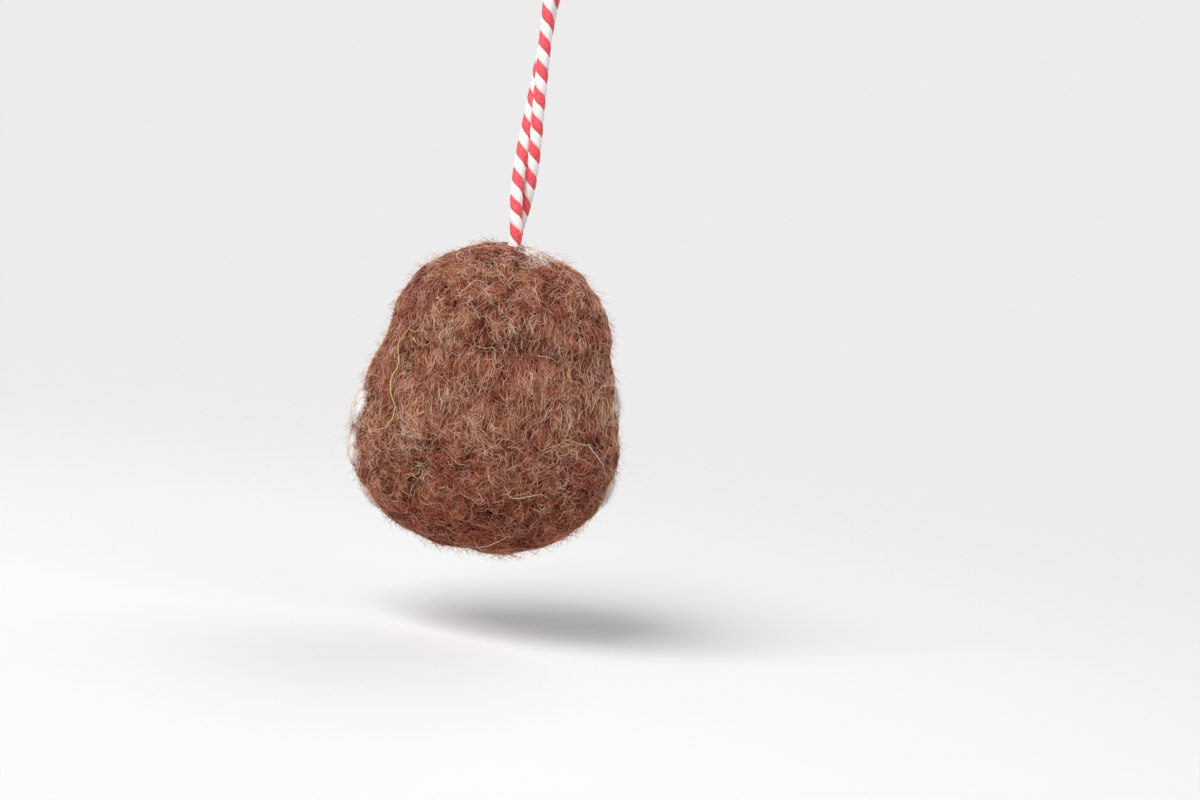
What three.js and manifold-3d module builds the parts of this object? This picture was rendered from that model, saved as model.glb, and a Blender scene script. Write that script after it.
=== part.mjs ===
// A needle-felted wool ornament on a loop of baker's twine.
// Millimetres, +Z up. The origin is the middle of the knot that the loop hangs from, the twine
// drops straight down from it, and the plain side of the wool faces -Y.
import * as THREE from 'three';
import { mergeVertices } from 'three/addons/utils/BufferGeometryUtils.js';
import Module from 'manifold-3d';

const wasm = await Module();
wasm.setup();

// Driving dimensions: the wool body
const bodyHeight = 48;
const lowerWidth = 42.6;
const crownWidth = 35.8;
const lowerDepth = 27;
const crownDepth = 23.5;
const waistRise = 8.5;
const waistGroove = 0.5;
const waistHalfWidth = 2.2;
const coatThickness = 4;

// Driving dimensions: the white tufts round the side edge
const tuftGap = 1.5;
const tuftWidth = 5.4;
const tuftThickness = 2.2;
const tuftProud = 0.8;
// From the twine along the edge to the first tuft, and the furthest that one sits behind the middle plane
const tuftRingStart = 3.9;
const tuftWander = 5;
// How far back each tuft sits, as a share of that, from the first one round towards +X:
// they are felted in by eye, so the ring wanders
const tuftBacks = [
  -0.6, 0.88, 1, 0.92, 0.24, 0.88, 0.24, 0.72, 0.8, 0.84,
  0.8, 0.52, 0, -0.36, -0.36, 0.8, 0.96, 1, 1, 1,
];

// Driving dimensions: the twine
const twineDiameter = 2;
const loopDrop = 58;
const pairGap = 0.4;
const stitchSpan = 3;
const stitchDepth = 9;
const hingeRise = 0.9;
const knotWidth = 7;
const knotDiameter = 6.4;
const knotNeck = 0.4;
const tailLength = 10;
const tailSplay = 18;

// The gap that neighbouring pieces keep
const clearance = 0.3;

// How round the body is: the power of its ends, and of its level sections
const endPower = 3;
const sectionPower = 2.05;
// The heights from and to the body's middle over which the lower width narrows to the crown width
const taperFrom = -10.8;
const taperTo = 10.2;

// The pair of strands from the wool up to the knot, chosen by hand:
// share of the way up, how far the pair is opened to the stitch's span, turn in degrees
const strandRoute = [
  [0.00, 1.00, 270], [0.05, 0.94, 255], [0.10, 0.72, 236], [0.15, 0.45, 216],
  [0.20, 0.22, 195], [0.26, 0.08, 168], [0.33, 0.04, 140], [0.40, 0.05, 121],
  [0.47, 0.05, 108], [0.54, 0.04, 96], [0.61, 0.03, 84], [0.68, 0.02, 71],
  [0.75, 0.02, 57], [0.82, 0.01, 41], [0.89, 0.00, 24], [0.95, 0.00, 9], [1.00, 0.00, 0],
];

// The shares of a tail's length that its curve goes through
const tailRoute = [0, 0.15, 0.4, 0.7, 1];

// Facets
const bodyRing = 40;
const bodyRings = 24;
const coreRing = 28;
const coreRings = 16;
const tuftRing = 10;
const tuftRings = 7;
const edgeSamples = 120;
const knotRing = 20;
const twineSides = 8;
const strandStep = 4;
const stitchStep = 1.4;
const tailStep = 2.5;

const brownWool = { color: 0x865a4a, roughness: 0.95, metalness: 0 };
const creamWool = { color: 0xe6dccb, roughness: 0.95, metalness: 0 };
const whiteWool = { color: 0xf1e2d7, roughness: 0.95, metalness: 0 };
const redTwine = { color: 0xe8767c, roughness: 0.8, metalness: 0 };

const twineRadius = twineDiameter / 2;
const exitHeight = -loopDrop;
const bodyTop = exitHeight - hingeRise;
const bodyMiddle = bodyTop - bodyHeight / 2;

// Closed meshes to solids and back
function solid(geometry) {
  const shell = geometry.clone();
  shell.deleteAttribute('normal');
  shell.deleteAttribute('uv');
  const merged = mergeVertices(shell, 1e-4);
  return new wasm.Manifold(new wasm.Mesh({
    numProp: 3,
    vertProperties: Float32Array.from(merged.attributes.position.array),
    triVerts: Uint32Array.from(merged.index.array),
  }));
}

function surface(body) {
  const mesh = body.getMesh();
  const geometry = new THREE.BufferGeometry();
  geometry.setAttribute('position', new THREE.BufferAttribute(mesh.vertProperties, 3));
  geometry.setIndex(new THREE.BufferAttribute(mesh.triVerts, 1));
  return geometry;
}

function piece(name, geometry, finish) {
  geometry.computeVertexNormals();
  const mesh = new THREE.Mesh(geometry, new THREE.MeshStandardMaterial(finish));
  mesh.name = name;
  return mesh;
}

// The wool body's half width or half depth at a height above its middle
function halfSpan(height, lower, crown) {
  const level = height / (bodyHeight / 2);
  const end = Math.sqrt(Math.max(0, 1 - Math.abs(level) ** endPower));
  const narrowing = THREE.MathUtils.smoothstep(height, taperFrom, taperTo);
  const fromWaist = (height - waistRise) / waistHalfWidth;
  const groove = waistGroove * Math.exp(-fromWaist * fromWaist);
  return end * (THREE.MathUtils.lerp(lower, crown, narrowing) / 2 - groove);
}

const halfWidth = (height) => halfSpan(height, lowerWidth, crownWidth);
const halfDepth = (height) => halfSpan(height, lowerDepth, crownDepth);

// A sphere pulled out to the body's form, drawn in by an inset all over
function bodyForm(inset, ring, rings) {
  const form = new THREE.SphereGeometry(1, ring, rings).rotateX(Math.PI / 2);
  const points = form.attributes.position;
  const reach = 1 - inset / (bodyHeight / 2);
  for (let i = 0; i < points.count; i += 1) {
    const turn = Math.atan2(points.getY(i), points.getX(i));
    const height = points.getZ(i) * bodyHeight / 2;
    const cos = Math.cos(turn);
    const sin = Math.sin(turn);
    const round = (Math.abs(cos) ** sectionPower + Math.abs(sin) ** sectionPower) ** (-1 / sectionPower);
    const wide = halfWidth(height) * (1 - inset / (crownWidth / 2));
    const deep = halfDepth(height) * (1 - inset / (crownDepth / 2));
    points.setXYZ(i, wide * cos * round, deep * sin * round, height * reach);
  }
  return form.translate(0, 0, bodyMiddle);
}

// How far outside the body a point is: 0 on the skin, less inside
function outside(x, y, height) {
  if (Math.abs(height) >= bodyHeight / 2) return 1;
  const across = Math.abs(x / halfWidth(height)) ** sectionPower;
  return across + Math.abs(y / halfDepth(height)) ** sectionPower - 1;
}

// The skin's point at an angle round the side edge and a set distance behind the middle plane
function edgePoint(angle, y) {
  let near = 0;
  let far = bodyHeight;
  for (let step = 0; step < 40; step += 1) {
    const reach = (near + far) / 2;
    if (outside(reach * Math.cos(angle), y, reach * Math.sin(angle)) < 0) near = reach;
    else far = reach;
  }
  return new THREE.Vector3(near * Math.cos(angle), y, near * Math.sin(angle));
}

// The body's side edge, as a loop from the top towards +X
function sideEdge() {
  const points = [];
  for (let i = 0; i < edgeSamples; i += 1) {
    points.push(edgePoint(Math.PI / 2 - 2 * Math.PI * i / edgeSamples, 0));
  }
  return new THREE.CatmullRomCurve3(points, true);
}

// Where a tuft sits, with its length along the edge and its thickness along the skin's normal
function tuftPlace(edge, share, back) {
  const at = edge.getPointAt(share);
  const angle = Math.atan2(at.z, at.x);
  const nudge = tuftWidth / edgeSamples;
  const turn = 2 * Math.PI / edgeSamples;
  const along = edgePoint(angle - turn, back).sub(edgePoint(angle + turn, back)).normalize();
  const across = edgePoint(angle, back + nudge).sub(edgePoint(angle, back - nudge)).normalize();
  const outward = new THREE.Vector3().crossVectors(along, across).normalize();
  const side = new THREE.Vector3().crossVectors(outward, along);
  const centre = edgePoint(angle, back).addScaledVector(outward, tuftProud - tuftThickness / 2);
  centre.z += bodyMiddle;
  return new THREE.Matrix4().makeBasis(along, side, outward).setPosition(centre);
}

function tuftForm(length, margin) {
  const form = new THREE.SphereGeometry(1, tuftRing, tuftRings).rotateX(Math.PI / 2);
  return form.scale(length / 2 + margin, tuftWidth / 2 + margin, tuftThickness / 2 + margin);
}

// A round cord along a curve
function twineAlong(points, radius, stepLength) {
  const curve = new THREE.CatmullRomCurve3(points, false, 'centripetal');
  const corners = [];
  for (let side = 0; side < twineSides; side += 1) {
    const turn = 2 * Math.PI * side / twineSides;
    corners.push(new THREE.Vector2(radius * Math.cos(turn), radius * Math.sin(turn)));
  }
  const steps = Math.round(curve.getLength() / stepLength);
  const section = new THREE.Shape(corners);
  return new THREE.ExtrudeGeometry(section, { steps, bevelEnabled: false, extrudePath: curve });
}

// The U that the twine makes inside the wool, from one exit down and back up to the other
function stitchPoints(rise) {
  const half = stitchSpan / 2;
  const legs = 3;
  const bends = 6;
  const low = exitHeight - hingeRise - stitchDepth + half;
  const down = [];
  for (let i = 0; i < legs; i += 1) {
    down.push(THREE.MathUtils.lerp(exitHeight + rise, low, i / legs));
  }
  const bend = [];
  for (let i = 0; i <= bends; i += 1) {
    const turn = Math.PI * i / bends;
    bend.push(new THREE.Vector3(0, -half * Math.cos(turn), low - half * Math.sin(turn)));
  }
  return [
    ...down.map((z) => new THREE.Vector3(0, -half, z)),
    ...bend,
    ...down.reverse().map((z) => new THREE.Vector3(0, half, z)),
  ];
}

// The stitch ends in a ball at each exit, which the strand above turns round
function stitchForm() {
  let form = solid(twineAlong(stitchPoints(0), twineRadius, stitchStep));
  for (const y of [-stitchSpan / 2, stitchSpan / 2]) {
    const ball = new THREE.SphereGeometry(twineRadius, twineSides, twineSides - 2);
    form = form.add(solid(ball.rotateX(Math.PI / 2).translate(0, y, exitHeight)));
  }
  return form;
}

// A strand from just above its ball to just below the knot; side is 0 or 180 degrees
function strandPoints(side) {
  const low = exitHeight + twineRadius + clearance;
  const high = -knotDiameter / 2 - clearance;
  const closed = (twineDiameter + pairGap) / 2;
  return strandRoute.map(([share, opened, turn]) => {
    const reach = THREE.MathUtils.lerp(closed, stitchSpan / 2, opened);
    const angle = THREE.MathUtils.degToRad(turn + side);
    const z = THREE.MathUtils.lerp(low, high, share);
    return new THREE.Vector3(reach * Math.cos(angle), reach * Math.sin(angle), z);
  });
}

// The knot is round about X, the line that the strands swing on, with a neck between its two turns
function knotForm() {
  const profile = [];
  const stations = 14;
  for (let i = 0; i <= stations; i += 1) {
    const level = -Math.cos(Math.PI * i / stations);
    const neck = knotNeck * Math.exp(-((6 * level) ** 2));
    const barrel = Math.sqrt(1 - level ** 4) * knotDiameter / 2;
    profile.push(new THREE.Vector2(Math.max(0, barrel - neck), level * knotWidth / 2));
  }
  profile[0].x = 0;
  profile[stations].x = 0;
  return new THREE.LatheGeometry(profile, knotRing).rotateZ(-Math.PI / 2);
}

// A cut end stands up from the knot and leans out
function tailPoints(side) {
  const lean = THREE.MathUtils.degToRad(tailSplay);
  const reach = (twineDiameter + pairGap) / 2;
  const base = knotDiameter / 2 + clearance;
  const points = [];
  for (const share of tailRoute) {
    const bow = tailLength * share * share * Math.sin(lean);
    points.push(new THREE.Vector3(side * (reach + bow), -side * bow, base + tailLength * share));
  }
  return points;
}

const ornament = new THREE.Group();

const edge = sideEdge();
const edgeLength = edge.getLength();
const tuftPitch = edgeLength / tuftBacks.length;
const tuftLength = tuftPitch - tuftGap;
const tufts = tuftBacks.map((back, index) => {
  const share = (tuftRingStart + index * tuftPitch) / edgeLength;
  return tuftPlace(edge, share % 1, back * tuftWander);
});

const channel = solid(twineAlong(stitchPoints(twineDiameter), twineRadius + clearance, stitchStep));
const cavity = solid(bodyForm(coatThickness, coreRing, coreRings));
let coat = solid(bodyForm(0, bodyRing, bodyRings)).subtract(cavity).subtract(channel);
for (const place of tufts) {
  coat = coat.subtract(solid(tuftForm(tuftLength, clearance).applyMatrix4(place)));
}
const core = solid(bodyForm(coatThickness + clearance, coreRing, coreRings)).subtract(channel);

ornament.add(piece('wool_coat', surface(coat), brownWool));
ornament.add(piece('wool_core', surface(core), creamWool));
tufts.forEach((place, index) => {
  const number = String(index + 1).padStart(2, '0');
  const tuft = piece(`white_tuft_${number}`, tuftForm(tuftLength, 0), whiteWool);
  tuft.applyMatrix4(place);
  ornament.add(tuft);
});
ornament.add(piece('twine_stitch', surface(stitchForm()), redTwine));

const loop = new THREE.Group();
loop.add(piece('loop_strand_a', twineAlong(strandPoints(0), twineRadius, strandStep), redTwine));
loop.add(piece('loop_strand_b', twineAlong(strandPoints(180), twineRadius, strandStep), redTwine));

const hanger = new THREE.Group();
hanger.add(piece('loop_knot', knotForm(), redTwine));
hanger.add(piece('knot_tail_a', twineAlong(tailPoints(-1), twineRadius, tailStep), redTwine));
hanger.add(piece('knot_tail_b', twineAlong(tailPoints(1), twineRadius, tailStep), redTwine));

const part = new THREE.Group();
part.add(hanger, loop, ornament);

export default part;
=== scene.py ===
import math

import bmesh
import bpy
import numpy as np
from mathutils import Matrix, Vector, noise
from mathutils.bvhtree import BVHTree


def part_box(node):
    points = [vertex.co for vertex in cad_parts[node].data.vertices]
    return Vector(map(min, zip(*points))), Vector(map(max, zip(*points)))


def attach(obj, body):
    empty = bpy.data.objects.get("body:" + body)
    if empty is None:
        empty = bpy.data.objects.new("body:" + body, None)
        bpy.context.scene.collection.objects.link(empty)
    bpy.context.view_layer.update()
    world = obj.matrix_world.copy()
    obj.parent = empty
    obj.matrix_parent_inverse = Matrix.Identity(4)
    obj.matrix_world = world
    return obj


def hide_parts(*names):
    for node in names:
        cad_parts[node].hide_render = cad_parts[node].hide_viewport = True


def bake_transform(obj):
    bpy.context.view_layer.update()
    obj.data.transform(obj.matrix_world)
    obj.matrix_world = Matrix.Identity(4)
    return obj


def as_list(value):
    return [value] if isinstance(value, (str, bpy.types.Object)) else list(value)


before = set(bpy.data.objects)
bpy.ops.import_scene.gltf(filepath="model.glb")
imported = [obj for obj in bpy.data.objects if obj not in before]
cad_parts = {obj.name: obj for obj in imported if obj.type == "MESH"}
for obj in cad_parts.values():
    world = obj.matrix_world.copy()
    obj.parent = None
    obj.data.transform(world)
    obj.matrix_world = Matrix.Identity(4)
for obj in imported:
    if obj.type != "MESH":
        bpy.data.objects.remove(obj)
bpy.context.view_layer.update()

MM = 0.001

# The picture's frame, and where the middle of the wool body lies in it
PHOTO_WIDTH = 1200
PHOTO_HEIGHT = 800
PIXELS_PER_MM = 6.4
BODY_PIXEL = (491.5, 398)
VIEW_ELEVATION = math.radians(6)
TWINE_LEAN = math.radians(8.8)
LENS_MM = 80
SENSOR_MM = 36

# Sizes that the CAD solids have, in millimetres
BODY_HEIGHT = 48
LOWER_WIDTH = 42.6
CROWN_WIDTH = 35.8
LOWER_DEPTH = 27
CROWN_DEPTH = 23.5
WAIST_RISE = 8.5
WAIST_GROOVE = 0.5
WAIST_HALF_WIDTH = 2.2
TAPER_FROM = -10.8
TAPER_TO = 10.2
END_POWER = 3
SECTION_POWER = 2.05
TWINE_DIAMETER = 2
LOOP_DROP = 58
PAIR_GAP = 0.4
STITCH_SPAN = 3
STITCH_DEPTH = 9
HINGE_RISE = 0.9
KNOT_DIAMETER = 6.4
TAIL_LENGTH = 10
TAIL_SPLAY = 18
CLEARANCE = 0.3

# The pair of strands from the wool up to the knot, as in the CAD model:
# share of the way up, how far the pair is opened to the stitch's span, turn in degrees
STRAND_ROUTE = [
    (0.00, 1.00, 270), (0.05, 0.94, 255), (0.10, 0.72, 236), (0.15, 0.45, 216),
    (0.20, 0.22, 195), (0.26, 0.08, 168), (0.33, 0.04, 140), (0.40, 0.05, 121),
    (0.47, 0.05, 108), (0.54, 0.04, 96), (0.61, 0.03, 84), (0.68, 0.02, 71),
    (0.75, 0.02, 57), (0.82, 0.01, 41), (0.89, 0.00, 24), (0.95, 0.00, 9), (1.00, 0.00, 0),
]
TAIL_ROUTE = [0, 0.15, 0.4, 0.7, 1]

TUFT_NODES = sorted(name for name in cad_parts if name.startswith("white_tuft_"))
coat_low, coat_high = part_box("wool_coat")
BODY_MIDDLE = (coat_low + coat_high) / 2
WOOL_TOP = -(LOOP_DROP + HINGE_RISE) * MM


def linear(colour):
    """A six-digit sRGB colour as linear RGBA."""
    shares = [int(colour[i:i + 2], 16) / 255 for i in (0, 2, 4)]
    curve = [c / 12.92 if c <= 0.04045 else ((c + 0.055) / 1.055) ** 2.4 for c in shares]
    return (*curve, 1.0)


def wire(tree, node, links):
    """Links a node's inputs to sockets or to other nodes' first outputs, or sets them to values."""
    for key, value in links.items():
        if isinstance(value, bpy.types.Node):
            value = value.outputs[0]
        if isinstance(value, bpy.types.NodeSocket):
            tree.links.new(value, node.inputs[key])
        else:
            node.inputs[key].default_value = value
    return node


def add_node(tree, kind, links=None, stops=None, **settings):
    """A new node with its settings and links, and the places and sRGB colours of a ramp's stops."""
    node = tree.nodes.new(kind)
    for name, value in settings.items():
        setattr(node, name, value)
    if stops:
        marks = node.color_ramp.elements
        marks.remove(marks[-1])
        for order, (place, colour) in enumerate(stops):
            mark = marks.new(place) if order else marks[0]
            mark.position = place
            mark.color = linear(colour)
    return wire(tree, node, links or {})


def new_piece(name, mesh, *materials):
    """A mesh object at the origin, with its materials."""
    piece = bpy.data.objects.new(name, mesh)
    bpy.context.scene.collection.objects.link(piece)
    for material in materials:
        mesh.materials.append(material)
    return piece


def mesh_from(name, points, faces):
    mesh = bpy.data.meshes.new(name)
    mesh.from_pydata([tuple(p) for p in points], [], faces)
    mesh.update()
    mesh.shade_smooth()
    return mesh


def points_of(mesh):
    return np.array([tuple(v.co) for v in mesh.vertices])


def normals_of(mesh):
    return np.array([tuple(v.normal) for v in mesh.vertices])


def keep_values(mesh, name, values):
    """Stores a number, or one number for each vertex, with a mesh."""
    layer = mesh.attributes.new(name, "FLOAT", "POINT")
    layer.data.foreach_set("value", np.full(len(mesh.vertices), values, np.float32))


def unit(vectors):
    return vectors / np.linalg.norm(vectors, axis=-1, keepdims=True)


def eased(share):
    """A share from 0 to 1 that starts and ends softly."""
    return share * share * (3 - 2 * share)


# Camera


def place_camera():
    """Looks at the plain side, rolled so that the hanging twine leans as in the picture."""
    span = PHOTO_WIDTH / PIXELS_PER_MM * MM
    distance = span * LENS_MM / SENSOR_MM
    ahead = Vector((0, math.cos(VIEW_ELEVATION), -math.sin(VIEW_ELEVATION)))
    level_right = Vector((1, 0, 0))
    level_up = level_right.cross(ahead)
    right = math.cos(TWINE_LEAN) * level_right + math.sin(TWINE_LEAN) * level_up
    up = right.cross(ahead)
    off_x = (BODY_PIXEL[0] - PHOTO_WIDTH / 2) / PIXELS_PER_MM * MM
    off_y = (PHOTO_HEIGHT / 2 - BODY_PIXEL[1]) / PIXELS_PER_MM * MM
    data = bpy.data.cameras.new("camera")
    data.lens = LENS_MM
    data.sensor_width = SENSOR_MM
    data.clip_start = 0.01
    camera = bpy.data.objects.new("camera", data)
    bpy.context.scene.collection.objects.link(camera)
    place = Matrix((right, up, -ahead)).transposed().to_4x4()
    place.translation = BODY_MIDDLE - off_x * right - off_y * up - distance * ahead
    camera.matrix_world = place
    bpy.context.scene.camera = camera


place_camera()


# Materials

# Sizes of the patterns in wool and cotton, in millimetres
GROUND_CLOUDS = 4
COAT_CLOUDS = 3
TINT_CLOUDS = 6
STRAND_WIDE = 0.2
STRAND_LONG = 1.8
FELT_CURLS = 0.5
FELT_RELIEF = 0.2
FIBRE_SPOTS = 1.4
COTTON_FUZZ = 0.35
COTTON_RELIEF = 0.05
# Heights over the body's middle between which curls give way to strands, and the painted shade of the lower
# part comes in
STRANDS_RISE = (-14, -5)
LOWER_PAINTED_SHADE_DROP = (-6, -22)
# Shares of the clouds in the coat's tone, of the painted shade in a needle mark and of the spots in a
# fibre's tone
CLOUD_SHARE = 0.35
PIT_PAINTED_SHADE = 0.3
SPOT_SHARE = 0.3
# Where colours lie along the value that picks them
GROUND_PLACES = (0.12, 0.42)
NOISE_PLACES = (0.36, 0.5, 0.64)
FIBRE_PLACES = (0.1, 0.5, 0.9)
COTTON_PLACES = (0.3, 0.7)
FLEECE_TINTS = ("e8d0ce", "ffffff", "fdfcf0")
# Painted shade: a darker warm colour that multiplies the brown wool's lower part
LOWER_PAINTED_SHADE = "efcdc3"


def new_material(name):
    """A material, its tree, its shader and the places in the object that patterns follow."""
    material = bpy.data.materials.new(name)
    material.use_nodes = True
    tree = material.node_tree
    place = add_node(tree, "ShaderNodeTexCoord").outputs["Object"]
    return material, tree, tree.nodes["Principled BSDF"], place


def wool_ground(name, colours, grain_mm):
    """Felted carded wool seen between its loose fibres: matt, clouded, with a fine matted grain."""
    material, tree, shader, place = new_material(name)
    clouds = add_node(tree, "ShaderNodeTexNoise",
                      {"Vector": place, "Scale": 1 / (GROUND_CLOUDS * MM), "Detail": 3})
    grain = add_node(tree, "ShaderNodeTexNoise",
                     {"Vector": place, "Scale": 1 / (grain_mm * MM), "Detail": 4, "Distortion": 1.5})
    both = add_node(tree, "ShaderNodeMath", {0: clouds, 1: grain}, operation="MULTIPLY")
    colour = add_node(tree, "ShaderNodeValToRGB", {"Fac": both}, stops=zip(GROUND_PLACES, colours))
    bump = add_node(tree, "ShaderNodeBump",
                    {"Height": grain, "Strength": 0.6, "Distance": FELT_RELIEF * MM})
    wire(tree, shader, {"Base Color": colour, "Normal": bump, "Roughness": 0.95,
                        "Specular IOR Level": 0.15})
    return material


def tints_and_painted_shade(tree, place, colour):
    """A colour multiplied by broad clouds of tints, as blended fleece has, and by painted shade on the
    lower part.
    """
    clouds = add_node(tree, "ShaderNodeTexNoise",
                      {"Vector": place, "Scale": 1 / (TINT_CLOUDS * MM), "Detail": 3})
    tint = add_node(tree, "ShaderNodeValToRGB", {"Fac": clouds}, stops=zip(NOISE_PLACES, FLEECE_TINTS))
    # Painted shade: from a height downwards the colour is multiplied by the darker lower colour
    height = add_node(tree, "ShaderNodeSeparateXYZ", {0: place}).outputs["Z"]
    high, low = (BODY_MIDDLE.z + drop * MM for drop in LOWER_PAINTED_SHADE_DROP)
    lower = add_node(tree, "ShaderNodeMapRange", {0: height, 1: high, 2: low},
                     interpolation_type="SMOOTHSTEP")
    for share, more in ((1.0, tint), (lower, linear(LOWER_PAINTED_SHADE))):
        colour = add_node(tree, "ShaderNodeMix", {0: share, 6: colour, 7: more},
                          data_type="RGBA", blend_type="MULTIPLY").outputs[2]
    return colour


def combed_felt(name, colours):
    """The coat between its loose fibres: fine strands that run down it, and curls in its lower part."""
    material, tree, shader, place = new_material(name)
    finer = [1 / (size * MM) for size in (STRAND_WIDE, STRAND_WIDE, STRAND_LONG)]
    drawn = add_node(tree, "ShaderNodeVectorMath", {0: place, 1: finer}, operation="MULTIPLY")
    strands = add_node(tree, "ShaderNodeTexNoise",
                       {"Vector": drawn, "Scale": 1.0, "Detail": 2, "Distortion": 1.2})
    curls = add_node(tree, "ShaderNodeTexNoise",
                     {"Vector": place, "Scale": 1 / (FELT_CURLS * MM), "Detail": 3, "Distortion": 2.5})
    height = add_node(tree, "ShaderNodeSeparateXYZ", {0: place}).outputs["Z"]
    low, high = (BODY_MIDDLE.z + rise * MM for rise in STRANDS_RISE)
    upper = add_node(tree, "ShaderNodeMapRange", {0: height, 1: low, 2: high})
    fine = add_node(tree, "ShaderNodeMix", {0: upper, 2: curls, 3: strands}, data_type="FLOAT")
    clouds = add_node(tree, "ShaderNodeTexNoise",
                      {"Vector": place, "Scale": 1 / (COAT_CLOUDS * MM), "Detail": 3})
    both = add_node(tree, "ShaderNodeMix", {0: CLOUD_SHARE, 2: fine, 3: clouds}, data_type="FLOAT")
    # Painted shade in the needle marks: the coat's colour darkens where a mark lies
    pit = add_node(tree, "ShaderNodeAttribute", attribute_name="needle_pit").outputs["Fac"]
    level = add_node(tree, "ShaderNodeMath", {0: pit, 1: -PIT_PAINTED_SHADE, 2: both}, operation="MULTIPLY_ADD")
    colour = add_node(tree, "ShaderNodeValToRGB", {"Fac": level}, stops=zip(NOISE_PLACES, colours))
    bump = add_node(tree, "ShaderNodeBump",
                    {"Height": fine, "Strength": 0.7, "Distance": FELT_RELIEF * MM})
    wire(tree, shader, {"Base Color": tints_and_painted_shade(tree, place, colour), "Normal": bump, "Roughness": 0.95,
                        "Specular IOR Level": 0.15})
    return material


def wool_fibre(name, colours, blended=False):
    """Wool fibres: each has its own shade, which comes and goes along it, under clouds of tints."""
    material, tree, shader, place = new_material(name)
    spots = add_node(tree, "ShaderNodeTexNoise",
                     {"Vector": place, "Scale": 1 / (FIBRE_SPOTS * MM), "Detail": 2})
    spot = add_node(tree, "ShaderNodeMapRange", {0: spots, 1: 0.3, 2: 0.7})
    shade = add_node(tree, "ShaderNodeAttribute", attribute_name="fibre_shade").outputs["Fac"]
    both = add_node(tree, "ShaderNodeMix", {0: SPOT_SHARE, 2: shade, 3: spot}, data_type="FLOAT")
    colour = add_node(tree, "ShaderNodeValToRGB", {"Fac": both}, stops=zip(FIBRE_PLACES, colours))
    if blended:
        colour = tints_and_painted_shade(tree, place, colour)
    wire(tree, shader, {"Base Color": colour, "Roughness": 0.75, "Specular IOR Level": 0.12,
                        "Sheen Weight": 0.05})
    return material


def cotton_ply(name, colours):
    """A spun cotton ply: fine fibres laid along it, a little paler where they lift."""
    material, tree, shader, place = new_material(name)
    fuzz = add_node(tree, "ShaderNodeTexNoise",
                    {"Vector": place, "Scale": 1 / (COTTON_FUZZ * MM), "Detail": 4, "Distortion": 0.8})
    colour = add_node(tree, "ShaderNodeValToRGB", {"Fac": fuzz}, stops=zip(COTTON_PLACES, colours))
    bump = add_node(tree, "ShaderNodeBump",
                    {"Height": fuzz, "Strength": 0.35, "Distance": COTTON_RELIEF * MM})
    wire(tree, shader, {"Base Color": colour, "Normal": bump, "Roughness": 0.85,
                        "Specular IOR Level": 0.2, "Sheen Weight": 0.2})
    return material


brown_ground = combed_felt("brown_wool_felt", ("3c180d", "7a3f2a", "ae674d"))
cream_ground = wool_ground("cream_core_wool", ("cfc0a8", "efe6d6"), grain_mm=0.7)
white_ground = wool_ground("white_wool_felt", ("e8dcd2", "faf4ef"), grain_mm=0.6)
dark_fibre = wool_fibre("brown_wool_dark_fibre", ("4c1f11", "6b311f", "8a4830"), blended=True)
middle_fibre = wool_fibre("brown_wool_fibre", ("824630", "ae6a4f", "d08f70"), blended=True)
light_fibre = wool_fibre("brown_wool_light_fibre", ("bf8266", "e7b499", "ffe3d0"), blended=True)
halo_fibre = wool_fibre("brown_wool_halo_fibre", ("be8468", "e6b096", "ffdfcc"), blended=True)
kemp_fibre = wool_fibre("pale_kemp_hair", ("b89a80", "d6bfa8", "efe0d0"))
olive_fibre = wool_fibre("olive_wool_fibre", ("6a5d3b", "8d7b4f", "b09c6a"))
straw_fibre = wool_fibre("straw_wool_hair", ("b0965a", "ccb070", "dcc68c"))
white_fibre = wool_fibre("white_wool_fibre", ("eae0d8", "f4ede7", "fcf8f4"))
red_cotton = cotton_ply("red_cotton_ply", ("e23844", "fa7279"))
white_cotton = cotton_ply("white_cotton_ply", ("efe6e3", "fefbfa"))


# Twine

# Two soft plies press each other flat, so each is wider round the twine than it is thick
PLY_LAY = 4.15
PLY_OFFSET = 0.24 * TWINE_DIAMETER
PLY_HIGH = 0.26 * TWINE_DIAMETER
PLY_WIDE = 0.4 * TWINE_DIAMETER
PLY_SIDES = 20
PLY_YARNS = 6
YARN_DEPTH = 0.05
YARN_LAY = 2.4
TWINE_STEP = 0.25
CURVE_SAMPLES = 40
# The two strands' loose cotton all but touches, closer than the solids' gap
PAIR_SLIT = -0.3
# How far the strands run on inside the wool and the tails inside the knot
STRAND_IN_WOOL = 3
TAIL_IN_KNOT = 1.5
# The strands end this far under the knot's middle
STRAND_UNDER_KNOT = 2
# Where each twine's first ply starts round it, in radians
NEAR_PHASE = -1.05
FAR_PHASE = 0.05
TAIL_PHASE = 0.9
# The U of the stitch starts this far inside the wool
STITCH_TOP = 1
STITCH_LEG_POINTS = 4
STITCH_BEND_POINTS = 7


def run_length(path):
    return np.concatenate([[0], np.cumsum(np.linalg.norm(np.diff(path, axis=0), axis=1))])


def smooth_path(points, step):
    """Points along a smooth curve through these ones, about a step apart."""
    points = np.asarray(points, float)
    whole = np.vstack([2 * points[0] - points[1], points, 2 * points[-1] - points[-2]])
    dense = []
    for a, b, c, d in zip(whole, whole[1:], whole[2:], whole[3:]):
        t = np.linspace(0, 1, CURVE_SAMPLES, endpoint=False)[:, None]
        dense.append(0.5 * (2 * b + (c - a) * t + (2 * a - 5 * b + 4 * c - d) * t ** 2
                            + (3 * b - a - 3 * c + d) * t ** 3))
    dense = np.vstack([*dense, points[-1:]])
    run = run_length(dense)
    count = max(2, round(run[-1] / step)) + 1
    even = np.linspace(0, run[-1], count)
    return np.column_stack([np.interp(even, run, dense[:, i]) for i in range(3)])


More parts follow.
